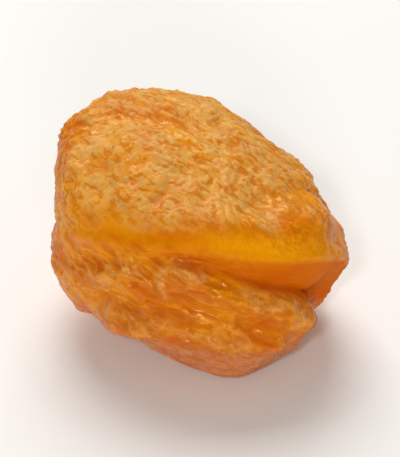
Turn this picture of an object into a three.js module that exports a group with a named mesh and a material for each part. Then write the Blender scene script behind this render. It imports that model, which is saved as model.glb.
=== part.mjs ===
// A golden dried plum lying on its flatter side, as one solid. Its stem hollow is low on the right, and its
// seam runs from there along the near side (-Y) as a deep fold that dies out towards the blossom end on the
// left. The skin has shrunk into folds. Millimetres, +Z up, and the origin under the middle of the fruit.
import * as THREE from "three";
import { mergeVertices } from "three/addons/utils/BufferGeometryUtils.js";

const DEGREES = 180 / Math.PI; // in one radian

// Driving dimensions of the fruit along its own axes, before the folds.
const LENGTH = 30.8; // from the blossom end to the stem end
const WIDTH = 25.0;
const THICKNESS = 22.4;
const SQUARENESS = 2.4; // 2 is an ellipsoid, and more is fuller in the corners
const CENTRE_HEIGHT = 10.8; // of the middle above the surface it lies on
const ARC_RADIUS = 13; // turns an angle on the fruit into mm along its skin
const TRIANGLE_ROWS = 34; // extra rows in each of the 8 faces of the starting ball
const SEAM_GATHER = 0.4; // share by which the rows lie closer at the crease

// The stem end, and a point on the near side that the plane of the seam goes through.
const STEM = direction(-26, -17);
const SEAM_MIDDLE = direction(-80, 11);
const STEM_HOLLOW = { width: 14, depth: 1.2 }; // width in degrees

// Cross-section of the seam. From above it is a brow, a smooth band, a lip, a wall that turns under, the
// crease, and the lower lobe, which comes out again at once.
const SEAM_DEPTH = 2.9;
const WALL_AT_STEM = 4.15; // height of the wall, which narrows along the seam
const WALL_NARROWING = 0.038; // mm for each degree along the seam
const WALL_LEAST = 0.8;
const SHELF_WIDTH = 1.1; // of the lower lobe's step out of the crease
const OVERHANG = { reach: 0.5, above: 0.8, width: 1.0 }; // how far the wall sags over the crease, and where
const LIP = { height: 0.4, width: 0.9 };
const BAND_WIDTH = 3.1; // from the wall's top to the brow
const BROW = { height: 0.45, width: 1.5 };
const LOBE = { height: 0.4, width: 1.6, below: 2.6 }; // swelling of the lower lobe under the crease
const DENT = { depth: 0.45, width: 1.5 }; // where the crease has died out
const WALL_ROUNDING = 0.15; // of the wall's top, as a share of its height
const WALL_CURVE = 1.15; // 1 is a straight wall
const SHELF_CURVE = 1.4; // 2 is a bell
const SMOOTH_SKIN = { width: 2.1, rise: 1.6, from: 30, to: 60 }; // it climbs between these degrees

// Course of the crease above the plane of the seam. At each end it turns down from a degree along the seam,
// by its slope in mm for each further degree.
const CREASE_HEIGHT = 2.0;
const TURN_AT_STEM = { from: 19, slope: 0.08, rounding: 8 };
const TURN_AT_BLOSSOM = { from: 76, slope: 0.11, rounding: 10 };

// Stretches of the seam, in degrees from the stem: where each fades in, is full, ends and has faded out.
const OPEN_STRETCH = [-26, 4, 24, 90];
const SMOOTH_STRETCH = [-20, 15, 110, 150];
const EDGE_STRETCH = [-30, 10, 125, 165]; // of the lip and the brow
const DENT_STRETCH = [50, 85, 115, 145];
const ROWS_STRETCH = [-40, 0, 115, 160]; // where the rows of triangles follow the crease
const ROWS_REACH = 8; // mm beside the crease that they are lifted
const GATHER_REACH = 4; // and that they lie closer

// Broad forms: azimuth and elevation in degrees, width in degrees, height in mm.
const FORMS = [
  [150, 45, 30, 1.2], // shoulder at the back left
  [35, 25, 34, -1.6], // the back right side falls away
  [-168, -10, 20, 1.2], // blossom end, low on the left
  [-134, -44, 18, -0.8], // tuck under the left of the lower lobe
  [-46, -42, 20, 1.0], // right end of the lower lobe
  [-36, 2, 20, 1.1], // shoulder over the stem hollow
  [5, 8, 22, -0.9], // flat at the right end
  [165, -60, 26, 1.1], // the underside, so that it rests under its weight
  [-15, -62, 24, -0.4],
  [174, 7, 17, -1.4], // the blossom end is blunt
  [-8, -10, 10, 0.7], // and the wall of the seam stands out at the stem end
  [-29, -39, 10, -1.0], // notch under the right end of the lower lobe
  [-72, -42, 14, 0.9], // the foot comes forward under the lower lobe
  [-122, 14, 7, 0.5], // two small swellings under the seam
  [-91, 14, 7, 0.5],
  [16, 30, 15, 0.9], // the far edge is round
  [-8, -24, 9, 0.7], // and so is the lower corner of the wall
  [-175, 0, 12, -0.7],
];

// Ridges and furrows: a path of azimuths and elevations, and width in degrees, height in mm.
const STROKES = [
  { path: [[165, 56], [60, 66]], width: 9, height: -0.7 }, // furrow across the top, before the back rim
  { path: [[172, 50], [-155, 42]], width: 8, height: -0.6 }, // short valley down the left of the top
  { path: [[-45, 40], [-48, 42]], width: 10, height: -0.7 }, // dimple at the right of the top
  { path: [[-154, -25], [-105, -14], [-56, -17]], width: 5, height: 0.7 }, // foot of the lower lobe
  { path: [[-139, -11], [-91, 0], [-59, -6]], width: 6, height: -0.6 }, // furrow along the lower lobe
  { path: [[-79, 8], [-43, -12]], width: 5, height: 0.4 }, // brow of the lower lobe, at the right
  { path: [[30, 5], [80, -10]], width: 9, height: -0.8 }, // three furrows on the far side
  { path: [[100, 20], [150, 5]], width: 9, height: -0.9 },
  { path: [[160, -15], [120, -30]], width: 8, height: -0.6 },
];

// Folds of the shrunken skin: seeded fields of waves, with a valley wherever a field crosses zero.
const SWELL = { seed: 11, count: 18, length: 21.0, grain: 0.8, height: 0.3 };
const FOLDS = { seed: 29, count: 26, length: 8.0, grain: 0.6, height: 0.4 };
const VALLEY_ROUNDING = 0.25;
const MEAN_RIDGE = 0.8;
const FOLD_WANDER = 1.2; // mm that the swell pushes the folds aside
const BAND_CALM = 0.8; // share of the folds that is missing on the smooth band
const TOP_CALM = 0.6; // and on the broad top
const TOP = { from: 0.45, to: 0.75 }; // how far up a direction has to point to be on it

// Where it rests, the fruit is pressed flat.
const PRESSED_ROUNDING = 0.5;
const PRESSED_DEPTH = 0.12;

const across = new THREE.Vector3(0, 0, 1).cross(STEM).normalize();
const upper = STEM.clone().cross(across);
const seamNormal = SEAM_MIDDLE.clone().cross(STEM).normalize();
const seamAhead = STEM.clone().cross(seamNormal);
const swell = waveField(SWELL);
const folds = waveField(FOLDS);

// Azimuth is turned from +X towards +Y, and elevation is above the horizontal, both in degrees.
function direction(azimuth, elevation) {
  const a = azimuth / DEGREES;
  const e = elevation / DEGREES;
  return new THREE.Vector3(Math.cos(a) * Math.cos(e), Math.sin(a) * Math.cos(e), Math.sin(e));
}

function bell(distance, width) {
  return Math.exp(-((distance / width) ** 2));
}

// 0 below zero and x above it, with a rounded corner.
function ramp(x, rounding) {
  return (x + Math.hypot(x, rounding)) / 2;
}

// 1 between start and end, fading in before and out after.
function stretch(x, fadeIn, start, end, fadeOut) {
  return THREE.MathUtils.smoothstep(x, fadeIn, start) * (1 - THREE.MathUtils.smoothstep(x, end, fadeOut));
}

// The same draws on every run.
function randomDraws(seed) {
  let state = seed;
  return () => {
    state = (state * 1664525 + 1013904223) % 4294967296;
    return state / 4294967296;
  };
}

// Plane waves in every direction, drawn out along the stem axis where grain is under 1.
function waveField({ seed, count, length, grain }) {
  const draw = randomDraws(seed);
  return Array.from({ length: count }, () => {
    const rise = 2 * draw() - 1;
    const turn = 2 * Math.PI * draw();
    const frequency = ((2 * Math.PI) / length) * (0.75 + 0.5 * draw());
    const phase = 2 * Math.PI * draw();
    const flat = Math.sqrt(1 - rise * rise);
    const way = new THREE.Vector3()
      .addScaledVector(STEM, flat * Math.cos(turn) * grain)
      .addScaledVector(across, flat * Math.sin(turn))
      .addScaledVector(upper, rise);
    return { way: way.setLength(frequency), phase };
  });
}

function ripple(point, field) {
  const total = field.reduce((sum, wave) => sum + Math.sin(point.dot(wave.way) + wave.phase), 0);
  return total / Math.sqrt(field.length / 2);
}

function bodyRadius(d) {
  const share = (axis, size) => (Math.abs(d.dot(axis)) / (size / 2)) ** SQUARENESS;
  return (share(STEM, LENGTH) + share(across, WIDTH) + share(upper, THICKNESS)) ** (-1 / SQUARENESS);
}

function formHeight(d, [azimuth, elevation, width, height]) {
  return height * bell(d.angleTo(direction(azimuth, elevation)) * DEGREES, width);
}

// Angle from a direction to the nearest point on the arc between two others.
function angleToArc(d, from, to) {
  const ahead = to.clone().addScaledVector(from, -to.dot(from)).normalize();
  const along = Math.atan2(d.dot(ahead), d.dot(from));
  const turn = THREE.MathUtils.clamp(along, 0, from.angleTo(to));
  const nearest = from.clone().multiplyScalar(Math.cos(turn)).addScaledVector(ahead, Math.sin(turn));
  return d.angleTo(nearest);
}

function strokeHeight(d, { path, width, height }) {
  const places = path.map(([azimuth, elevation]) => direction(azimuth, elevation));
  const angles = places.slice(1).map((to, i) => angleToArc(d, places[i], to));
  return height * bell(Math.min(...angles) * DEGREES, width);
}

// Where a direction lies from the plane of the seam: height in mm and along in degrees from the stem.
function planePlace(d) {
  const height = Math.asin(THREE.MathUtils.clamp(d.dot(seamNormal), -1, 1)) * ARC_RADIUS;
  return { height, along: Math.atan2(d.dot(seamAhead), d.dot(STEM)) * DEGREES };
}

// Height of the crease above the plane of the seam, which it leaves at both ends.
function creaseCourse(along) {
  const atStem = TURN_AT_STEM.slope * ramp(TURN_AT_STEM.from - along, TURN_AT_STEM.rounding);
  const atBlossom = TURN_AT_BLOSSOM.slope * ramp(along - TURN_AT_BLOSSOM.from, TURN_AT_BLOSSOM.rounding);
  return CREASE_HEIGHT - atStem - atBlossom;
}

// Where a direction lies from the crease: side in mm, positive above it, with the wall's height, how open
// the crease is and how smooth the band is there.
function seamPlace(d) {
  const { height, along } = planePlace(d);
  const side = height - creaseCourse(along);
  const wall = Math.max(WALL_LEAST, WALL_AT_STEM - WALL_NARROWING * Math.abs(along));
  const climb = SMOOTH_SKIN.rise * THREE.MathUtils.smoothstep(along, SMOOTH_SKIN.from, SMOOTH_SKIN.to);
  const band = stretch(along, ...SMOOTH_STRETCH) * bell(side - (wall / 2 + climb), SMOOTH_SKIN.width);
  return { side, along, wall, band, openness: stretch(along, ...OPEN_STRETCH) };
}

function seamHeight({ side, along, wall, openness }) {
  const turnedUnder = ramp(1 - side / wall, WALL_ROUNDING) ** WALL_CURVE;
  const shelf = Math.exp(-((Math.abs(side) / SHELF_WIDTH) ** SHELF_CURVE));
  const step = side > 0 ? turnedUnder : shelf;
  const lobe = LOBE.height * bell(side + LOBE.below, LOBE.width);
  const lip = LIP.height * bell(side - wall, LIP.width);
  const brow = BROW.height * bell(side - wall - BAND_WIDTH, BROW.width);
  const dent = DENT.depth * stretch(along, ...DENT_STRETCH) * bell(side, DENT.width);
  return stretch(along, ...EDGE_STRETCH) * (lip + brow) + openness * (lobe - SEAM_DEPTH * step) - dent;
}

// Height of the skin's folds at a point of the body in direction d.
function foldHeight(point, d, { band }) {
  const aside = [0, 1, 2].map((i) => ripple(point, swell.filter((_, n) => n % 3 === i)));
  const place = point.clone().addScaledVector(new THREE.Vector3(...aside), FOLD_WANDER);
  const ridges = Math.hypot(ripple(place, folds), VALLEY_ROUNDING) - MEAN_RIDGE;
  const top = THREE.MathUtils.smoothstep(d.z, TOP.from, TOP.to);
  const calm = (1 - BAND_CALM * band) * (1 - TOP_CALM * top);
  return FOLDS.height * ridges * calm + SWELL.height * ripple(point, swell);
}

function skinPoint(d) {
  let radius = bodyRadius(d);
  for (const form of FORMS) radius += formHeight(d, form);
  for (const stroke of STROKES) radius += strokeHeight(d, stroke);
  const seam = seamPlace(d);
  radius += seamHeight(seam);
  radius -= STEM_HOLLOW.depth * bell(d.angleTo(STEM) * DEGREES, STEM_HOLLOW.width);
  const point = d.clone().multiplyScalar(radius);
  point.addScaledVector(d, foldHeight(point, d, seam));
  const sag = OVERHANG.reach * seam.openness * bell(seam.side - OVERHANG.above, OVERHANG.width);
  point.addScaledVector(seamNormal, -sag);
  point.z = Math.max(0, ramp(point.z + CENTRE_HEIGHT, PRESSED_ROUNDING) - PRESSED_DEPTH);
  return point;
}

// Moves the ball's equator, which starts in the plane of the seam, onto the crease, and its rows closer.
function laidAlongCrease(d) {
  const { height, along } = planePlace(d);
  const near = stretch(along, ...ROWS_STRETCH);
  const lifted = creaseCourse(along) * bell(height, ROWS_REACH);
  const moved = height + near * (lifted - SEAM_GATHER * height * bell(height, GATHER_REACH));
  const inPlane = STEM.clone().multiplyScalar(Math.cos(along / DEGREES));
  inPlane.addScaledVector(seamAhead, Math.sin(along / DEGREES));
  const angle = moved / ARC_RADIUS;
  return inPlane.multiplyScalar(Math.cos(angle)).addScaledVector(seamNormal, Math.sin(angle));
}

function plumGeometry() {
  const ball = new THREE.OctahedronGeometry(1, TRIANGLE_ROWS);
  ball.applyMatrix4(new THREE.Matrix4().makeBasis(seamAhead, STEM, seamNormal));
  ball.deleteAttribute("normal");
  ball.deleteAttribute("uv");
  const geometry = mergeVertices(ball);
  const position = geometry.getAttribute("position");
  for (let i = 0; i < position.count; i += 1) {
    const d = new THREE.Vector3().fromBufferAttribute(position, i).normalize();
    position.setXYZ(i, ...skinPoint(laidAlongCrease(d)));
  }
  geometry.computeBoundingBox();
  const middle = geometry.boundingBox.getCenter(new THREE.Vector3());
  geometry.translate(-middle.x, -middle.y, 0);
  geometry.computeVertexNormals();
  return geometry;
}

const flesh = new THREE.MeshStandardMaterial({ color: 0xd2760a, roughness: 0.42, metalness: 0 });
const plum = new THREE.Mesh(plumGeometry(), flesh);
plum.name = "dried_plum";

const fruit = new THREE.Group();
fruit.add(plum);

export default fruit;
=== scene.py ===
"""A golden dried plum lying on a pale floor.

The fruit is one closed skin over its plain solid. Its form, seam and folds follow the same named values as
the solid's, and finer wrinkles are added as real relief. Lengths are in mm, and in metres from the mesh on.
"""

import math

import bpy
import numpy as np
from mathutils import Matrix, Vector


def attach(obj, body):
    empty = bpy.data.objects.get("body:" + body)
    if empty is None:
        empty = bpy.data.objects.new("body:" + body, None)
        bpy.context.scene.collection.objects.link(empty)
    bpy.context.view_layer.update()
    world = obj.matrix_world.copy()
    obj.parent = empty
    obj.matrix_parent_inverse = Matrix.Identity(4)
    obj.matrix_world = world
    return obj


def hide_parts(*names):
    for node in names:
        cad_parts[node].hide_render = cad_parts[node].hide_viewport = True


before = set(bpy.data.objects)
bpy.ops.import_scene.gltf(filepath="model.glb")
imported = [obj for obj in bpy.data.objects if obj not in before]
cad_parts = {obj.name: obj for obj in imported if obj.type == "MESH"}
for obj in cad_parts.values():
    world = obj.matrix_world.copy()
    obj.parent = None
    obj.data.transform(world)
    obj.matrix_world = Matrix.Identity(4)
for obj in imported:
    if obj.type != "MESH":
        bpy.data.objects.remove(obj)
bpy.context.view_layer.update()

MM = 0.001  # metres in a millimetre

# Driving dimensions of the fruit along its own axes, before the folds.
LENGTH = 30.8  # from the blossom end to the stem end
WIDTH = 25.0
THICKNESS = 22.4
SQUARENESS = 2.4  # 2 is an ellipsoid, and more is fuller in the corners
CENTRE_HEIGHT = 10.8  # of the middle above the surface it lies on
ARC_RADIUS = 13.0  # turns an angle on the fruit into mm along its skin
SKIN_ROWS = 156  # rows in each of the 8 faces of the starting ball
SEAM_GATHER = 0.4  # share by which the rows lie closer at the crease

# Cross-section of the seam. From above it is a brow, a smooth band, a lip, a wall that turns under, the
# crease, and the lower lobe, which comes out again at once.
SEAM_DEPTH = 2.9
WALL_AT_STEM = 4.15  # height of the wall, which narrows along the seam
WALL_NARROWING = 0.038  # mm for each degree along the seam
WALL_LEAST = 0.8
SHELF_WIDTH = 1.1  # of the lower lobe's step out of the crease
OVERHANG = 0.5  # how far the wall sags over the crease
OVERHANG_ABOVE, OVERHANG_WIDTH = 0.8, 1.0  # and where
LIP_HEIGHT, LIP_WIDTH = 0.4, 0.9
BAND_WIDTH = 3.1  # from the wall's top to the brow
BROW_HEIGHT, BROW_WIDTH = 0.45, 1.5
LOBE_HEIGHT, LOBE_WIDTH, LOBE_BELOW = 0.4, 1.6, 2.6  # swelling of the lower lobe under the crease
DENT_DEPTH, DENT_WIDTH = 0.45, 1.5  # where the crease has died out
WALL_ROUNDING = 0.15  # of the wall's top, as a share of its height
WALL_CURVE = 1.15  # 1 is a straight wall
SHELF_CURVE = 1.4  # 2 is a bell
SMOOTH_WIDTH, SMOOTH_RISE = 2.1, 1.6  # of the smooth skin, which climbs
SMOOTH_CLIMB = (30, 60)  # between these degrees along the seam
STEM_AZIMUTH, STEM_ELEVATION = -26, -17  # where the stem end points
HOLLOW_WIDTH, HOLLOW_DEPTH = 14, 1.2  # of the stem hollow, its width in degrees

# Course of the crease above the plane of the seam. At each end it turns down from a degree along the seam,
# by its slope in mm for each further degree.
CREASE_HEIGHT = 2.0
STEM_TURN_FROM, STEM_TURN_SLOPE, STEM_TURN_ROUNDING = 19, 0.08, 8
BLOSSOM_TURN_FROM, BLOSSOM_TURN_SLOPE, BLOSSOM_TURN_ROUNDING = 76, 0.11, 10

# Stretches of the seam, in degrees from the stem: where each fades in, is full, ends and has faded out.
OPEN_STRETCH = (-26, 4, 24, 90)
SMOOTH_STRETCH = (-20, 15, 110, 150)
EDGE_STRETCH = (-30, 10, 125, 165)  # of the lip and the brow
DENT_STRETCH = (50, 85, 115, 145)
ROWS_STRETCH = (-40, 0, 115, 160)  # where the rows of triangles follow the crease
GOLDEN_STRETCH = (0, 15, 60, 95)  # of the golden colour on the band
# Stretch of the highlight painted golden along the lip:
LIP_HIGHLIGHT_STRETCH = (5, 25, 55, 80)
ROWS_REACH = 8  # mm beside the crease that the rows are lifted
GATHER_REACH = 4  # and that they lie closer

# Broad forms: azimuth and elevation in degrees, width in degrees, height in mm.
FORMS = [
    (150, 45, 30, 1.2),  # shoulder at the back left
    (35, 25, 34, -1.6),  # the back right side falls away
    (-168, -10, 20, 1.2),  # blossom end, low on the left
    (-134, -44, 18, -0.8),  # tuck under the left of the lower lobe
    (-46, -42, 20, 1.0),  # right end of the lower lobe
    (-36, 2, 20, 1.1),  # shoulder over the stem hollow
    (5, 8, 22, -0.9),  # flat at the right end
    (165, -60, 26, 1.1),  # the underside, so that it rests under its weight
    (-15, -62, 24, -0.4),
    (174, 7, 17, -1.4),  # the blossom end is blunt
    (-8, -10, 10, 0.7),  # and the wall of the seam stands out at the stem end
    (-29, -39, 10, -1.0),  # notch under the right end of the lower lobe
    (-72, -42, 14, 0.9),  # the foot comes forward under the lower lobe
    (-122, 14, 7, 0.5),  # two small swellings under the seam
    (-91, 14, 7, 0.5),
    (16, 30, 15, 0.9),  # the far edge is round
    (-8, -24, 9, 0.7),  # and so is the lower corner of the wall
    (-175, 0, 12, -0.7),
]

# Ridges and furrows: a path of azimuths and elevations, width in degrees, height in mm.
STROKES = [
    ([(165, 56), (60, 66)], 9, -0.7),  # furrow across the top, before the back rim
    ([(172, 50), (-155, 42)], 8, -0.6),  # short valley down the left of the top
    ([(-45, 40), (-48, 42)], 10, -0.7),  # dimple at the right of the top
    ([(-154, -25), (-105, -14), (-56, -17)], 5, 0.7),  # foot of the lower lobe
    ([(-139, -11), (-91, 0), (-59, -6)], 6, -0.6),  # furrow along the lower lobe
    ([(-79, 8), (-43, -12)], 5, 0.4),  # brow of the lower lobe, at the right
    ([(30, 5), (80, -10)], 9, -0.8),  # three furrows on the far side
    ([(100, 20), (150, 5)], 9, -0.9),
    ([(160, -15), (120, -30)], 8, -0.6),
]

# Fields of waves: seed, number of waves, wave length in mm, and grain, which draws them out along the stem.
SWELL = (11, 18, 21.0, 0.8)
FOLDS = (29, 26, 8.0, 0.6)
CRUMPLES = (5, 30, 3.1, 0.5)
PLEATS = (17, 30, 1.5, 0.5)
LOBE_PLEATS = (19, 30, 1.5, 0.15)
PATCHES = (3, 20, 5.0, 1.0)
TURNS = (23, 18, 12.0, 1.0)
SWELL_HEIGHT = 0.3
FOLD_HEIGHT = 0.4
CRUMPLE_HEIGHT = 0.12
PLEAT_HEIGHT = 0.07
LOBE_PLEAT_HEIGHT = 0.16
VALLEY_ROUNDING = 0.25
MEAN_RIDGE = 0.8
FOLD_WANDER = 1.2  # mm that the swell pushes the folds aside
BAND_CALM = 0.8  # share of the folds that is missing on the smooth band
TOP_CALM = 0.6  # and on the broad top
TOP_FROM, TOP_TO = 0.45, 0.75  # how far up a direction has to point to be on it

# Fine wrinkles of the shrunken skin, grown as a pattern over the finished folds.
WRINKLE_SPACING = 0.80
LOBE_WRINKLE_SPACING = 1.05
WRINKLE_HEIGHT = 0.11
WRINKLE_SEED = 7
WRINKLE_STEPS = 110
WRINKLE_START = 0.3  # the roughness that they grow out of
WRINKLE_GROWTH = 0.45
WRINKLE_WIDENING = 0.25  # makes the ridges narrower than the valleys
WRINKLE_LIMIT = 1.5
LEAST_EDGE = 0.11  # mm; shorter edges count as this long, or the pattern would flicker from row to row
WRINKLE_DRAWN_OUT = 0.3  # how strongly the wrinkles follow their winding grain
LOBE_WRINKLE_DRAWN_OUT = 0.5
WRINKLE_TURNING = 0.7  # how far the grain winds away from the stem axis

# Small creases and raised strokes of the skin, given like the ridges and furrows above.
SKIN_CREASES = [
    ([(150, 53), (133, 69), (66, 77)], 3, -0.2),  # before the back rim
    ([(133, 69), (173, 69), (-163, 67)], 3, -0.15),
    ([(-141, 82), (-14, 85)], 4, -0.15),
    ([(-149, 61), (-142, 53)], 2.5, -0.2),  # on the left of the top
    ([(-169, 50), (-165, 45), (-154, 48)], 2.5, -0.2),
    ([(-111, 56), (-114, 45)], 2.5, -0.2),  # on its middle and round its dimple
    ([(-38, 55), (-56, 47)], 2.5, -0.2),
    ([(-35, 45), (-30, 36), (-43, 36)], 3, -0.2),
    ([(-115, 5), (-99, 8), (-86, 8)], 3, -0.25),  # along the lower lobe
    ([(-136, -12), (-109, -6), (-91, -4)], 3, -0.2),
    ([(-79, -12), (-65, -11), (-55, -8)], 2.5, -0.2),
    ([(-95, -15), (-86, -17), (-81, -21)], 2.5, -0.25),  # in the foot
    ([(-101, -19), (-90, -21)], 2.5, -0.2),
]
# The raised strokes below are painted pale, as painted glints and highlights of the lamps on the back rim,
# the top, the lower lobe and over the foot.
GLINT_STROKES = [
    ([(114, 53), (103, 59), (82, 60)], 6, 0.05),  # on the back rim
    ([(99, 61), (86, 62)], 4, 0.12),
    ([(76, 58), (60, 48)], 4, 0.06),
    ([(-165, 37), (178, 42), (162, 52)], 6, 0.08),  # down the left of the top
    ([(-160, 33), (-145, 36)], 5, 0.05),
    ([(-60, 55), (-75, 50)], 7, 0.05),
    ([(-121, 14), (-118, 14)], 3, 0.15),  # on the lower lobe
    ([(-105, 14), (-103, 8)], 2.5, 0.15),
    ([(-98, 16), (-87, 18)], 2.5, 0.15),
    ([(-138, 1), (-128, 7)], 3, 0.09),
    ([(-138, -17), (-117, -10)], 2.5, 0.1),
    ([(-68, 5), (-56, 1), (-50, -4), (-45, -10)], 3, 0.1),
    ([(-120, -16), (-105, -11), (-90, -13), (-70, -14)], 2.5, 0.08),  # over the foot
]
STROKE_WANDER = (31, 18, 4.0, 1.0)
STROKE_WANDERING = 0.35  # mm that these strokes wander
CREASE_CALM = 0.9  # share of the relief that is missing in the crease, so that its walls stay apart
CREASE_CALM_WIDTH = 0.8  # mm beside the crease

# The painted sheen, a pale colour where the light from above catches the broad top, reaches this many
# degrees from its middle.
SHEEN_CENTRE = (-60, 82)
SHEEN_REACH = 55
# Golden gaps in it, and a golden spot on the lower lobe: azimuth, elevation, width in degrees.
SHEEN_GAPS = [(-163, 47, 3), (-144, 56, 3), (134, 75, 7), (-138, 86, 5), (-33, 38, 8), (-15, 30, 8)]
GOLDEN_SPOT = (-78, 10, 5)
STEM_END_WIDTH = 17  # of the smoother skin round the stem hollow, where shade in the hollow is painted darker

# Where it rests, the fruit is pressed flat.
PRESSED_ROUNDING = 0.5
PRESSED_DEPTH = 0.12


def direction(azimuth, elevation):
    """Azimuth is turned from +X towards +Y, and elevation is above the horizontal, both in degrees."""
    a = math.radians(azimuth)
    e = math.radians(elevation)
    return np.array([math.cos(a) * math.cos(e), math.sin(a) * math.cos(e), math.sin(e)])


def unit(vectors):
    return vectors / np.linalg.norm(vectors, axis=-1, keepdims=True)


STEM = direction(STEM_AZIMUTH, STEM_ELEVATION)
SEAM_MIDDLE = direction(-80, 11)  # a point that the plane of the seam goes through
ACROSS = unit(np.cross([0, 0, 1], STEM))
UPPER = np.cross(STEM, ACROSS)
SEAM_NORMAL = unit(np.cross(SEAM_MIDDLE, STEM))
SEAM_AHEAD = np.cross(STEM, SEAM_NORMAL)


def bell(distance, width):
    return np.exp(-((distance / width) ** 2))


def ramp(x, rounding):
    """0 below zero and x above it, with a rounded corner."""
    return (x + np.hypot(x, rounding)) / 2


def fade(x, start, end):
    t = np.clip((x - start) / (end - start), 0, 1)
    return t * t * (3 - 2 * t)


def stretch(x, fade_in, start, end, fade_out):
    """1 between start and end, fading in before and out after."""
    return fade(x, fade_in, start) * (1 - fade(x, end, fade_out))


def together(*shares):
    """Share that is left covered when each of these covers its own share of what the others leave."""
    bare = 1
    for share in shares:
        bare = bare * (1 - share)
    return 1 - bare


def angle_to(d, place):
    return np.degrees(np.arccos(np.clip(d @ place, -1, 1)))


def random_draws(seed):
    """The same draws on every run."""
    state = seed
    while True:
        state = (state * 1664525 + 1013904223) % 4294967296
        yield state / 4294967296


def wave_field(seed, count, length, grain):
    """Plane waves in every direction, drawn out along the stem axis where grain is under 1."""
    draw = random_draws(seed)
    waves = []
    for _ in range(count):
        rise = 2 * next(draw) - 1
        turn = 2 * math.pi * next(draw)
        frequency = 2 * math.pi / length * (0.75 + 0.5 * next(draw))
        phase = 2 * math.pi * next(draw)
        flat = math.sqrt(1 - rise * rise)
        way = STEM * (flat * math.cos(turn) * grain) + ACROSS * (flat * math.sin(turn)) + UPPER * rise
        waves.append((unit(way) * frequency, phase))
    return waves


def ripple(points, waves):
    total = sum(np.sin(points @ way + phase) for way, phase in waves)
    return total / math.sqrt(len(waves) / 2)


def wander(points, waves):
    """A winding push aside at each point, from waves dealt out over the three axes."""
    return np.stack([ripple(points, waves[i::3]) for i in range(3)], axis=1)


def body_radius(d):
    axes = ((STEM, LENGTH), (ACROSS, WIDTH), (UPPER, THICKNESS))
    shares = sum((np.abs(d @ axis) / (size / 2)) ** SQUARENESS for axis, size in axes)
    return shares ** (-1 / SQUARENESS)


def angle_to_path(d, path):
    """Degrees from each direction to the nearest point of a path of arcs."""
    places = [direction(*place) for place in path]
    nearest = np.full(len(d), 180.0)
    for start, end in zip(places, places[1:]):
        ahead = unit(end - start * (end @ start))
        span = math.acos(start @ end)
        turn = np.clip(np.arctan2(d @ ahead, d @ start), 0, span)[:, None]
        place = start * np.cos(turn) + ahead * np.sin(turn)
        nearest = np.minimum(nearest, np.degrees(np.arccos(np.clip((d * place).sum(1), -1, 1))))
    return nearest


def strokes_height(d, strokes):
    return sum(height * bell(angle_to_path(d, path), width) for path, width, height in strokes)


def plane_place(d):
    """Where directions lie from the plane of the seam: height in mm, and along in degrees from the stem."""
    height = np.arcsin(np.clip(d @ SEAM_NORMAL, -1, 1)) * ARC_RADIUS
    return height, np.degrees(np.arctan2(d @ SEAM_AHEAD, d @ STEM))


def crease_course(along):
    """Height of the crease above the plane of the seam, which it leaves at both ends."""
    at_stem = STEM_TURN_SLOPE * ramp(STEM_TURN_FROM - along, STEM_TURN_ROUNDING)
    at_blossom = BLOSSOM_TURN_SLOPE * ramp(along - BLOSSOM_TURN_FROM, BLOSSOM_TURN_ROUNDING)
    return CREASE_HEIGHT - at_stem - at_blossom


class SeamPlace:
    """Where directions lie from the crease: side in mm, positive above it, and along in degrees."""

    def __init__(self, d):
        height, self.along = plane_place(d)
        self.side = height - crease_course(self.along)
        self.wall = np.maximum(WALL_LEAST, WALL_AT_STEM - WALL_NARROWING * np.abs(self.along))
        self.openness = stretch(self.along, *OPEN_STRETCH)
        band_middle = self.wall / 2 + SMOOTH_RISE * fade(self.along, *SMOOTH_CLIMB)
        self.band = stretch(self.along, *SMOOTH_STRETCH) * bell(self.side - band_middle, SMOOTH_WIDTH)


def seam_height(seam):
    turned_under = ramp(1 - seam.side / seam.wall, WALL_ROUNDING) ** WALL_CURVE
    shelf = np.exp(-((np.abs(seam.side) / SHELF_WIDTH) ** SHELF_CURVE))
    step = np.where(seam.side > 0, turned_under, shelf)
    lobe = LOBE_HEIGHT * bell(seam.side + LOBE_BELOW, LOBE_WIDTH)
    lip = LIP_HEIGHT * bell(seam.side - seam.wall, LIP_WIDTH)
    brow = BROW_HEIGHT * bell(seam.side - seam.wall - BAND_WIDTH, BROW_WIDTH)
    dent = DENT_DEPTH * stretch(seam.along, *DENT_STRETCH) * bell(seam.side, DENT_WIDTH)
    edge = stretch(seam.along, *EDGE_STRETCH) * (lip + brow)
    return edge + seam.openness * (lobe - SEAM_DEPTH * step) - dent


def ridges(points, waves):
    """Rounded ridges with a narrow valley wherever the field of waves crosses zero; zero on average."""
    return np.hypot(ripple(points, waves), VALLEY_ROUNDING) - MEAN_RIDGE


def fold_height(points, d, seam):
    """Height of the skin's folds, and the places that the swell has pushed aside."""
    swell = wave_field(*SWELL)
    places = points + FOLD_WANDER * wander(points, swell)
    calm = (1 - BAND_CALM * seam.band) * (1 - TOP_CALM * fade(d[:, 2], TOP_FROM, TOP_TO))
    height = FOLD_HEIGHT * ridges(places, wave_field(*FOLDS)) * calm + SWELL_HEIGHT * ripple(points, swell)
    return height, places


def folded_skin(d):
    """The fruit's surface with its seam and folds, about its own middle, as the plain solid has it."""
    seam = SeamPlace(d)
    radius = body_radius(d) + seam_height(seam)
    for azimuth, elevation, width, height in FORMS:
        radius += height * bell(angle_to(d, direction(azimuth, elevation)), width)
    radius += strokes_height(d, STROKES)
    radius -= HOLLOW_DEPTH * bell(angle_to(d, STEM), HOLLOW_WIDTH)
    points = d * radius[:, None]
    height, places = fold_height(points, d, seam)
    points += d * height[:, None]
    sag = OVERHANG * seam.openness * bell(seam.side - OVERHANG_ABOVE, OVERHANG_WIDTH)
    points -= SEAM_NORMAL * sag[:, None]
    return points, places, seam


def pressed(points):
    """The same points above the floor, and flat where the fruit rests on it."""
    height = np.maximum(0, ramp(points[:, 2] + CENTRE_HEIGHT, PRESSED_ROUNDING) - PRESSED_DEPTH)
    return np.column_stack([points[:, :2], height])


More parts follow.
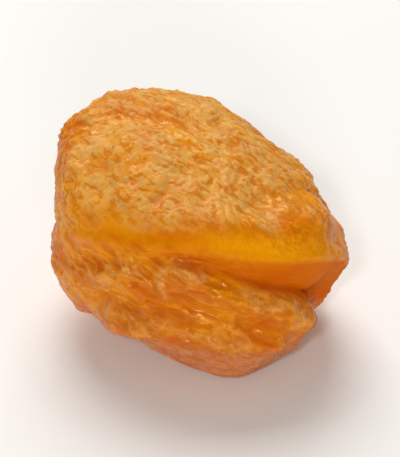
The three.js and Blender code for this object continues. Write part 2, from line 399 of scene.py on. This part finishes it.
def ball(rows):
    """Directions and triangles of a ball of eight faces, each with this many rows."""
    steps = np.arange(-rows, rows + 1)
    x, y = np.meshgrid(steps, steps, indexing="ij")
    rest = rows - np.abs(x) - np.abs(y)
    upper = rest >= 0
    lower = rest > 0
    number = {1: np.full(x.shape, -1), -1: np.full(x.shape, -1)}
    number[1][upper] = np.arange(upper.sum())
    number[-1][upper] = number[1][upper]
    number[-1][lower] = upper.sum() + np.arange(lower.sum())
    corners = np.concatenate([
        np.column_stack([x[upper], y[upper], rest[upper]]),
        np.column_stack([x[lower], y[lower], -rest[lower]]),
    ])
    directions = unit(np.sin(corners / rows * math.pi / 2))
    i, j = (part.ravel() for part in np.meshgrid(np.arange(rows), np.arange(rows), indexing="ij"))
    outward = (
        (((1, 0), (0, 1), (0, 0)), i + j < rows),
        (((0, 1), (1, 0), (1, 1)), i + j < rows - 1),
    )
    triangles = []
    for east in (1, -1):
        for north in (1, -1):
            for up in (1, -1):
                for steps_out, there in outward:
                    found = [
                        number[up][east * (i[there] + di) + rows, north * (j[there] + dj) + rows]
                        for di, dj in steps_out
                    ]
                    turn = 1 if east * north * up > 0 else -1
                    triangles.append(np.column_stack(found[::turn]))
    return directions, np.concatenate(triangles)


def laid_along_crease(d):
    """Moves the ball's equator from the plane of the seam onto the crease, and its rows closer to it."""
    height, along = plane_place(d)
    near = stretch(along, *ROWS_STRETCH)
    lifted = crease_course(along) * bell(height, ROWS_REACH)
    moved = height + near * (lifted - SEAM_GATHER * height * bell(height, GATHER_REACH))
    turn = np.radians(along)[:, None]
    in_plane = STEM * np.cos(turn) + SEAM_AHEAD * np.sin(turn)
    angle = (moved / ARC_RADIUS)[:, None]
    return in_plane * np.cos(angle) + SEAM_NORMAL * np.sin(angle)


def corner_normals(points, triangles):
    a, b, c = (points[triangles[:, i]] for i in range(3))
    across = np.cross(b - a, c - a)
    total = np.zeros_like(points)
    for i in range(3):
        for axis in range(3):
            total[:, axis] += np.bincount(triangles[:, i], across[:, axis], len(points))
    return unit(total)


class Neighbours:
    """The points next to each point of a mesh, for growing patterns over its surface."""

    def __init__(self, points, triangles, grain):
        pairs = np.concatenate([triangles[:, [0, 1]], triangles[:, [1, 2]], triangles[:, [2, 0]]])
        self.here, self.there = pairs[:, 0], pairs[:, 1]
        self.count = len(points)
        edge = points[self.there] - points[self.here]
        length = np.linalg.norm(edge, axis=1)
        self.weight = (2 / 3) / np.maximum(length, LEAST_EDGE) ** 2
        lengthwise = ((edge * grain[self.here]).sum(1) / length) ** 2
        self.weight_lengthwise = self.weight * (lengthwise - 0.25) / 0.75

    def change_lengthwise(self, values):
        """Second derivative of the values along the grain."""
        change = self.weight_lengthwise * (values[self.there] - values[self.here])
        return np.bincount(self.here, change, self.count)

    def curvature(self, values):
        """Sum of second derivatives of the values along the surface, in each square mm."""
        change = self.weight * (values[self.there] - values[self.here])
        return np.bincount(self.here, change, self.count)


def grown_wrinkles(neighbours, spacing, drawn_out):
    """Winding ridges, spaced in mm, that grow out of random roughness and stop each other; near -1 to 1."""
    wave = (2 * math.pi / spacing) ** 2
    values = np.random.RandomState(WRINKLE_SEED).standard_normal(neighbours.count) * WRINKLE_START
    strongest = 9 * np.quantile(neighbours.weight, 0.98) / np.quantile(wave, 0.02)
    pace = min(0.8, 1.6 / max(1, (strongest - 1) ** 2))  # slow enough that the finest rows stay steady
    for _ in range(WRINKLE_STEPS):
        bent = values + neighbours.curvature(values) / wave
        twice = bent + neighbours.curvature(bent) / wave
        lengthwise = drawn_out * neighbours.change_lengthwise(values) / wave
        growth = WRINKLE_GROWTH * values + lengthwise - WRINKLE_WIDENING * values ** 2
        values = values + pace * (growth - twice - values ** 3)
        values = np.clip(values, -WRINKLE_LIMIT, WRINKLE_LIMIT)
    return values / np.quantile(np.abs(values), 0.95)


def spots(d, places):
    """1 at the middle of round spots, given by azimuth, elevation and width, and 0 away from them."""
    return np.minimum(1, sum(bell(angle_to(d, direction(*place)), width) for *place, width in places))


def inside_mark(seam):
    """1 on the wall and in the crease, where their shade is painted deep orange, 0 elsewhere."""
    above = 1 - fade(seam.side, seam.wall - 0.6, seam.wall + 0.1)
    near = np.sqrt(stretch(seam.along, -60, -25, 24, 90))
    return near * above * np.where(seam.side > 0, 1, bell(seam.side, 0.8))


def sheen_mark(d, seam, relief, on_lobe):
    """Painted sheen: how pale and dull the skin is made where light from above catches it on the broad top
    above the smooth band, and as painted glints on crests of the lobe.
    """
    patches = relief["patches"]
    reach = SHEEN_REACH + 4 * patches
    cap = 1 - fade(angle_to(d, direction(*SHEEN_CENTRE)), reach - 6, reach + 6)
    from_wall = seam.side - seam.wall + 0.35 * patches + 0.9 * (relief["ridge"] - 0.4)
    # On the top this is painted sheen of the light from above, on the lobe's crests painted glints, and
    # elsewhere it lies in random patches.
    top = cap * fade(from_wall, 1.5, 2.6) * (1 - 0.6 * seam.band) * (1 - 0.6 * spots(d, SHEEN_GAPS))
    crests = 0.3 * fade(relief["pleats"] + 0.2 * patches, 0.1, 0.8) * on_lobe
    elsewhere = 0.5 * fade(patches, 0.6, 1.5) * (1 - on_lobe)
    return np.maximum(top, np.maximum(crests, elsewhere) * (1 - seam.band))


def bounce_light_mark(d):
    """Painted bounce light: 1 on the skin under the lower lobe, on the near side, which is painted pale
    pink as if lit from below, and 0 elsewhere.
    """
    near_side = 1 - fade(angle_to(d, direction(-100, -25)), 45, 70)
    return 0.85 * near_side * (1 - fade(d[:, 2], -0.42, -0.22))


def golden_mark(d, seam):
    """1 on the golden part of the band, on the lip, where a highlight is painted golden, and on a few
    spots.
    """
    band = stretch(seam.along, *GOLDEN_STRETCH) * bell(seam.side - seam.wall - 0.9, 1.4)
    lip = stretch(seam.along, *LIP_HIGHLIGHT_STRETCH) * bell(seam.side - seam.wall, 0.35)
    return np.maximum(np.maximum(0.9 * band, lip), 0.8 * spots(d, SHEEN_GAPS + [GOLDEN_SPOT]))


def skin_marks(d, seam, relief, on_lobe):
    """From 0 to 1, how strongly each colour and finish of the skin shows at each point; some of these
    colours are painted shade, sheen, glints and bounce light.
    """
    valley = 1 - fade(relief["ridge"], 0, 0.45)
    raised = fade(relief["ridge"], 0.05, 0.5)
    crest = fade(relief["pleats"], 0.0, 0.7)
    hollow = fade(-relief["crumples"], 0.1, 0.7)
    crease = np.clip(relief["creases"] / -0.2, 0, 1)
    glint_stroke = np.clip(relief["strokes"] / 0.15, 0, 1)
    dry = fade(relief["ridge"], 0.03, 0.5) * (1 - 0.85 * np.maximum(crease, 0.6 * hollow))

    inside = inside_mark(seam)
    smooth = np.maximum(inside, seam.band)
    stem_end = bell(angle_to(d, STEM), STEM_END_WIDTH)
    far_band_shade = 0.3 * seam.band * fade(seam.along, 80, 105)
    painted_sheen = sheen_mark(d, seam, relief, on_lobe)
    golden = golden_mark(d, seam)
    # Painted shade: deep orange in the wrinkle valleys, crumple hollows and creases, round the stem hollow,
    # at the far end of the band and a little over the lower lobe, with less of it under the painted sheen.
    furrow_shade = together(0.45 * valley, 0.45 * hollow, 0.7 * crease, 0.6 * stem_end, far_band_shade, 0.3 * on_lobe)
    return {
        "deep_shade": together(furrow_shade * (1 - 0.6 * painted_sheen), 0.8 * inside),
        # Painted highlight: golden on the crests of the pleats.
        "golden": np.maximum(golden, (0.4 + 0.2 * on_lobe) * crest),
        "painted_sheen": painted_sheen * (0.45 + 0.55 * dry),
        # Painted glints: the pale colour of the raised strokes.
        "pale": glint_stroke * (0.25 + 0.4 * raised),
        # Painted bounce light under the lower lobe, stronger on the raised wrinkles.
        "foot": bounce_light_mark(d) * (0.6 + 0.4 * raised),
        "wet": (1 - 0.9 * np.maximum(smooth, stem_end)) * (1 - 0.55 * painted_sheen) * (0.35 + 0.65 * raised),
        "coarse": (1 - 0.9 * smooth) * (1 - 0.6 * golden),
    }


def skin_grain(d, points, on_lobe):
    """The way that the fine wrinkles run: along the stem axis, and along the seam on the lower lobe."""
    turning = wander(points, wave_field(*TURNS))
    share = on_lobe[:, None]
    along_seam = unit(np.cross(SEAM_NORMAL, d))
    return unit(STEM * (1 - share) + along_seam * share + WRINKLE_TURNING * (1 - 0.5 * share) * turning)


def skin_relief(d, points, places, neighbours, seam, on_lobe):
    """The fine relief of the skin in its parts, each near -1 to 1 except the strokes, which are in mm."""
    calm = (1 - 0.7 * seam.band) * (1 - 0.6 * bell(angle_to(d, STEM), STEM_END_WIDTH))
    patches = np.clip(ripple(points, wave_field(*PATCHES)), -2, 1.5)
    spacing = WRINKLE_SPACING + (LOBE_WRINKLE_SPACING - WRINKLE_SPACING) * on_lobe
    spacing *= np.exp(0.28 * np.maximum(patches, -1.2))
    drawn_out = WRINKLE_DRAWN_OUT + (LOBE_WRINKLE_DRAWN_OUT - WRINKLE_DRAWN_OUT) * on_lobe
    wrinkles = grown_wrinkles(neighbours, spacing, drawn_out)
    ridge = ((1 + np.clip(wrinkles, -1, 1)) / 2) ** 1.5
    strength = np.clip(0.9 + 0.5 * patches, 0.15, 1.7) * (1 - 0.45 * on_lobe)
    wandering = unit(points + STROKE_WANDERING * wander(points, wave_field(*STROKE_WANDER)))
    top_pleats = ridges(places, wave_field(*PLEATS)) * (1 - on_lobe)
    lobe_pleats = -np.tanh(ridges(places, wave_field(*LOBE_PLEATS))) * on_lobe
    return {
        "patches": patches,
        "ridge": 0.4 + (ridge - 0.4) * calm,
        "fine": (ridge - 0.35) * calm * strength * spacing / WRINKLE_SPACING,
        "crumples": ridges(places, wave_field(*CRUMPLES)) * (1 - 2 * on_lobe) * calm,
        "pleats": (top_pleats + lobe_pleats) * calm,
        "creases": strokes_height(wandering, SKIN_CREASES),
        "strokes": strokes_height(wandering, GLINT_STROKES),
    }


def plum_shape():
    """Points of the skin in the fruit's place on the floor, its triangles, and what each point is like."""
    directions, triangles = ball(SKIN_ROWS)
    d = laid_along_crease(directions @ np.stack([SEAM_AHEAD, STEM, SEAM_NORMAL]))
    points, places, seam = folded_skin(d)
    low, high = pressed(points).min(0), pressed(points).max(0)
    middle = (low + high) / 2

    on_lobe = 1 - fade(seam.side, 0, 4)
    neighbours = Neighbours(points, triangles, skin_grain(d, points, on_lobe))
    relief = skin_relief(d, points, places, neighbours, seam, on_lobe)
    height = (
        CRUMPLE_HEIGHT * relief["crumples"]
        + (PLEAT_HEIGHT + (LOBE_PLEAT_HEIGHT - PLEAT_HEIGHT) * on_lobe) * relief["pleats"]
        + WRINKLE_HEIGHT * relief["fine"]
        + relief["creases"]
        + relief["strokes"]
    )
    height *= 1 - CREASE_CALM * seam.openness * bell(seam.side, CREASE_CALM_WIDTH)
    normals = corner_normals(points, triangles)
    finished = pressed(points + normals * height[:, None])
    finished[:, :2] -= middle[:2]
    return finished, triangles, skin_marks(d, seam, relief, on_lobe)


def plum_mesh():
    points, triangles, marks = plum_shape()
    mesh = bpy.data.meshes.new("plum")
    mesh.from_pydata((points * MM).tolist(), [], triangles.tolist())
    mesh.shade_smooth()
    for name, values in marks.items():
        mark = mesh.attributes.new(name, "FLOAT", "POINT")
        mark.data.foreach_set("value", np.asarray(values, dtype=np.float32))
    return mesh


def node(tree, kind, inputs=None, **settings):
    """A shader node with its settings and unlinked inputs; an input given as a socket is linked."""
    made = tree.nodes.new(kind)
    for name, value in settings.items():
        setattr(made, name, value)
    for name, value in (inputs or {}).items():
        socket = made.inputs[name]
        if isinstance(value, bpy.types.NodeSocket):
            tree.links.new(value, socket)
        else:
            socket.default_value = value
    return made


def mark(tree, name):
    return node(tree, "ShaderNodeAttribute", attribute_name=name).outputs["Fac"]


def spread(tree, value, low, high, to_low=0.0, to_high=1.0):
    """Value from low to high spread over to_low to to_high, smoothly and no further."""
    made = node(tree, "ShaderNodeMapRange", {
        "Value": value, "From Min": low, "From Max": high, "To Min": to_low, "To Max": to_high,
    }, interpolation_type="SMOOTHSTEP")
    return made.outputs["Result"]


def blend(tree, share, first, second):
    """Colour between two colours or sockets."""
    made = node(tree, "ShaderNodeMix", {0: share, 6: first, 7: second}, data_type="RGBA")
    return made.outputs[2]


def multiply(tree, a, b):
    return node(tree, "ShaderNodeMath", {0: a, 1: b}, operation="MULTIPLY").outputs[0]


def noise(tree, scale, detail, place, distortion=0.0):
    made = node(tree, "ShaderNodeTexNoise", {
        "Vector": place, "Scale": scale, "Detail": detail, "Roughness": 0.55, "Distortion": distortion,
    })
    return made.outputs["Fac"]


# Colours of the skin, from the deep orange, which also paints shade, to the pale colours that paint sheen,
# glints and light bounced from below.
DEEP_ORANGE = (0.62, 0.105, 0.001, 1)
SHADE_BROWN_ORANGE = (0.60, 0.155, 0.002, 1)
ORANGE = (0.74, 0.20, 0.001, 1)
GOLDEN = (0.92, 0.38, 0.002, 1)
SHEEN_COLOUR = (0.69, 0.395, 0.115, 1)
GLINT_COLOUR = (0.84, 0.45, 0.12, 1)
BOUNCE_PINK = (0.66, 0.31, 0.20, 1)
GLINT_TINT = (1.0, 0.78, 0.28, 1)

# Finish of the skin.
WET_ROUGHNESS, DRY_ROUGHNESS = 0.2, 0.45
GLOSS, GLOSS_AT_RIM = 0.75, 0.05
GRAIN_BUMP = 0.01 * MM
FINE_BUMP = 0.07 * MM
GRAIN_STRETCH = 2.2  # how much longer the streaks are than wide, along the stem axis
GLOW_WEIGHT = 0.45  # of the light that goes into the flesh and comes out again
GLOW_REACH = 0.5 * MM
GLOW_COLOURS = (1.0, 0.3, 0.06)


def along_stem_axis(tree, place):
    """The place drawn out along the stem axis, for streaks that run that way."""
    turn = (0, math.radians(-STEM_ELEVATION), math.radians(STEM_AZIMUTH))
    made = node(tree, "ShaderNodeMapping", {
        "Vector": place, "Rotation": turn, "Scale": (GRAIN_STRETCH, 1, 1),
    }, vector_type="TEXTURE")
    return made.outputs["Vector"]


def sheen_flecks(tree, place, fine):
    """How much of the painted sheen covers each point, broken into flecks."""
    flecks = spread(tree, noise(tree, 420.0, 2.0, place, 0.6), 0.35, 0.55, 0.5, 1.0)
    gaps = spread(tree, fine, 0.4, 0.54, 0.2, 1.0)
    return multiply(tree, mark(tree, "painted_sheen"), multiply(tree, flecks, gaps))


def skin_colour(tree, place, streaks, fine, painted_sheen):
    patches = noise(tree, 160.0, 3.0, place, 0.4)
    colour = blend(tree, spread(tree, patches, 0.38, 0.62), ORANGE, GOLDEN)
    colour = blend(tree, spread(tree, streaks, 0.5, 0.35, 0.0, 0.35), colour, DEEP_ORANGE)
    colour = blend(tree, mark(tree, "golden"), colour, GOLDEN)
    colour = blend(tree, spread(tree, streaks, 0.5, 0.65, 0.0, 0.5), colour, GOLDEN)
    # Painted bounce light: pale pink under the lower lobe.
    colour = blend(tree, mark(tree, "foot"), colour, BOUNCE_PINK)
    # Painted shade: deep orange in the furrows, on the crease's wall and in the crease.
    colour = blend(tree, mark(tree, "deep_shade"), colour, DEEP_ORANGE)
    # Painted shade: brown-orange dashes where the fine bump is low, in the valleys of the fine grain.
    fine_valley_shade = multiply(tree, spread(tree, fine, 0.52, 0.38, 0.0, 0.8), mark(tree, "coarse"))
    colour = blend(tree, fine_valley_shade, colour, SHADE_BROWN_ORANGE)
    # Painted sheen: pale colour where light from above catches the top, and painted glints on the lobe's
    # crests.
    colour = blend(tree, painted_sheen, colour, SHEEN_COLOUR)
    # Painted glints: pale colour on the raised strokes.
    pale = multiply(tree, mark(tree, "pale"), spread(tree, fine, 0.34, 0.5, 0.4, 1.0))
    return blend(tree, pale, colour, GLINT_COLOUR)


def skin_bump(tree, place, fine):
    """The grain of the skin, finer than the mesh can hold."""
    grain = noise(tree, 3500.0, 2.0, place)
    grain_bump = node(tree, "ShaderNodeBump", {"Height": grain, "Distance": GRAIN_BUMP, "Strength": 0.5})
    fine_bump = node(tree, "ShaderNodeBump", {
        "Height": fine,
        "Distance": FINE_BUMP,
        "Strength": multiply(tree, mark(tree, "coarse"), 0.6),
        "Normal": grain_bump.outputs["Normal"],
    })
    return fine_bump.outputs["Normal"]


def skin_roughness(tree, wet, painted_sheen):
    """Rougher where the painted sheen lies, and where the skin isn't wet."""
    return node(tree, "ShaderNodeMath", {
        0: spread(tree, painted_sheen, 0.2, 0.8, WET_ROUGHNESS, DRY_ROUGHNESS),
        1: spread(tree, wet, 0.1, 0.5, DRY_ROUGHNESS, WET_ROUGHNESS),
    }, operation="MAXIMUM").outputs[0]


def plum_skin():
    material = bpy.data.materials.new("plum_skin")
    material.use_nodes = True
    tree = material.node_tree
    tree.nodes.clear()
    place = node(tree, "ShaderNodeTexCoord").outputs["Object"]
    drawn_out = along_stem_axis(tree, place)
    streaks = noise(tree, 520.0, 2.0, drawn_out, 0.5)
    fine = noise(tree, 1500.0, 3.0, drawn_out, 0.8)
    painted_sheen = sheen_flecks(tree, place, fine)
    wet = mark(tree, "wet")
    facing_away = node(tree, "ShaderNodeLayerWeight", {"Blend": 0.5}).outputs["Facing"]
    gloss = spread(tree, facing_away, 0.4, 0.85, GLOSS, GLOSS_AT_RIM)
    shader = node(tree, "ShaderNodeBsdfPrincipled", {
        "Base Color": skin_colour(tree, place, streaks, fine, painted_sheen),
        "Roughness": skin_roughness(tree, wet, painted_sheen),
        "Normal": skin_bump(tree, place, fine),
        "IOR": 1.4,
        "Specular IOR Level": multiply(tree, wet, gloss),
        "Specular Tint": GLINT_TINT,
        "Subsurface Weight": GLOW_WEIGHT,
        "Subsurface Radius": GLOW_COLOURS,
        "Subsurface Scale": GLOW_REACH,
    })
    output = node(tree, "ShaderNodeOutputMaterial")
    tree.links.new(shader.outputs["BSDF"], output.inputs["Surface"])
    return material


def add(name, data):
    made = bpy.data.objects.new(name, data)
    bpy.context.scene.collection.objects.link(made)
    return made


def dried_plum():
    plum = add("plum", plum_mesh())
    plum.data.materials.append(plum_skin())
    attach(plum, "root")
    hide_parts("dried_plum")
    return plum


# The studio, in metres and watts.
FLOOR_HALF = 1.0
FLOOR_COLOUR = (0.92, 0.915, 0.90, 1)
FLOOR_ROUGHNESS = 0.7
LIT_POINT = (0, 0, 0.011)
SOFTBOXES = [  # name, place, size and power
    ("window", (-0.05, 0.30, 0.42), (0.35, 0.30), 2.05),
    ("fill", (0.02, -0.50, 0.20), (0.12, 0.06), 0.6),
    ("lamp", (-0.06, -0.36, 0.31), (0.045, 0.045), 0.5),
]
ROOM_COLOUR = (1.0, 0.93, 0.82, 1)
ROOM_LIGHT = 0.25
CAMERA_ELEVATION = 37  # degrees, straight in front of the side with the seam
CAMERA_DISTANCE = 0.30
CAMERA_AIM = (0.00015, 0, 0.0108)
FRAME_HEIGHT = 0.0466  # what the picture's long side shows at that distance


def floor():
    mesh = bpy.data.meshes.new("floor")
    corners = [(x * FLOOR_HALF, y * FLOOR_HALF, 0) for x, y in ((-1, -1), (1, -1), (1, 1), (-1, 1))]
    mesh.from_pydata(corners, [], [(0, 1, 2, 3)])
    material = bpy.data.materials.new("pale_floor")
    material.use_nodes = True
    shader = material.node_tree.nodes["Principled BSDF"]
    shader.inputs["Base Color"].default_value = FLOOR_COLOUR
    shader.inputs["Roughness"].default_value = FLOOR_ROUGHNESS
    made = add("floor", mesh)
    made.data.materials.append(material)


def turned_towards(way):
    """Turn of a light or camera that looks this way."""
    return way.to_track_quat("-Z", "Y").to_euler()


def softbox(name, place, size, power):
    light = bpy.data.lights.new(name, "AREA")
    light.shape = "RECTANGLE"
    light.size, light.size_y = size
    light.energy = power
    made = add(name, light)
    made.location = place
    made.rotation_euler = turned_towards(Vector(LIT_POINT) - Vector(place))


def studio():
    for name, place, size, power in SOFTBOXES:
        softbox(name, place, size, power)
    world = bpy.data.worlds.new("studio")
    bpy.context.scene.world = world
    world.use_nodes = True
    background = world.node_tree.nodes["Background"]
    background.inputs["Color"].default_value = ROOM_COLOUR
    background.inputs["Strength"].default_value = ROOM_LIGHT
    bpy.context.scene.view_settings.view_transform = "Standard"


def camera():
    elevation = math.radians(CAMERA_ELEVATION)
    data = bpy.data.cameras.new("camera")
    data.lens = data.sensor_width / (FRAME_HEIGHT / CAMERA_DISTANCE)
    made = add("camera", data)
    back = Vector((0, -math.cos(elevation), math.sin(elevation)))
    made.location = Vector(CAMERA_AIM) + back * CAMERA_DISTANCE
    made.rotation_euler = turned_towards(-back)
    bpy.context.scene.camera = made


dried_plum()
floor()
studio()
camera()
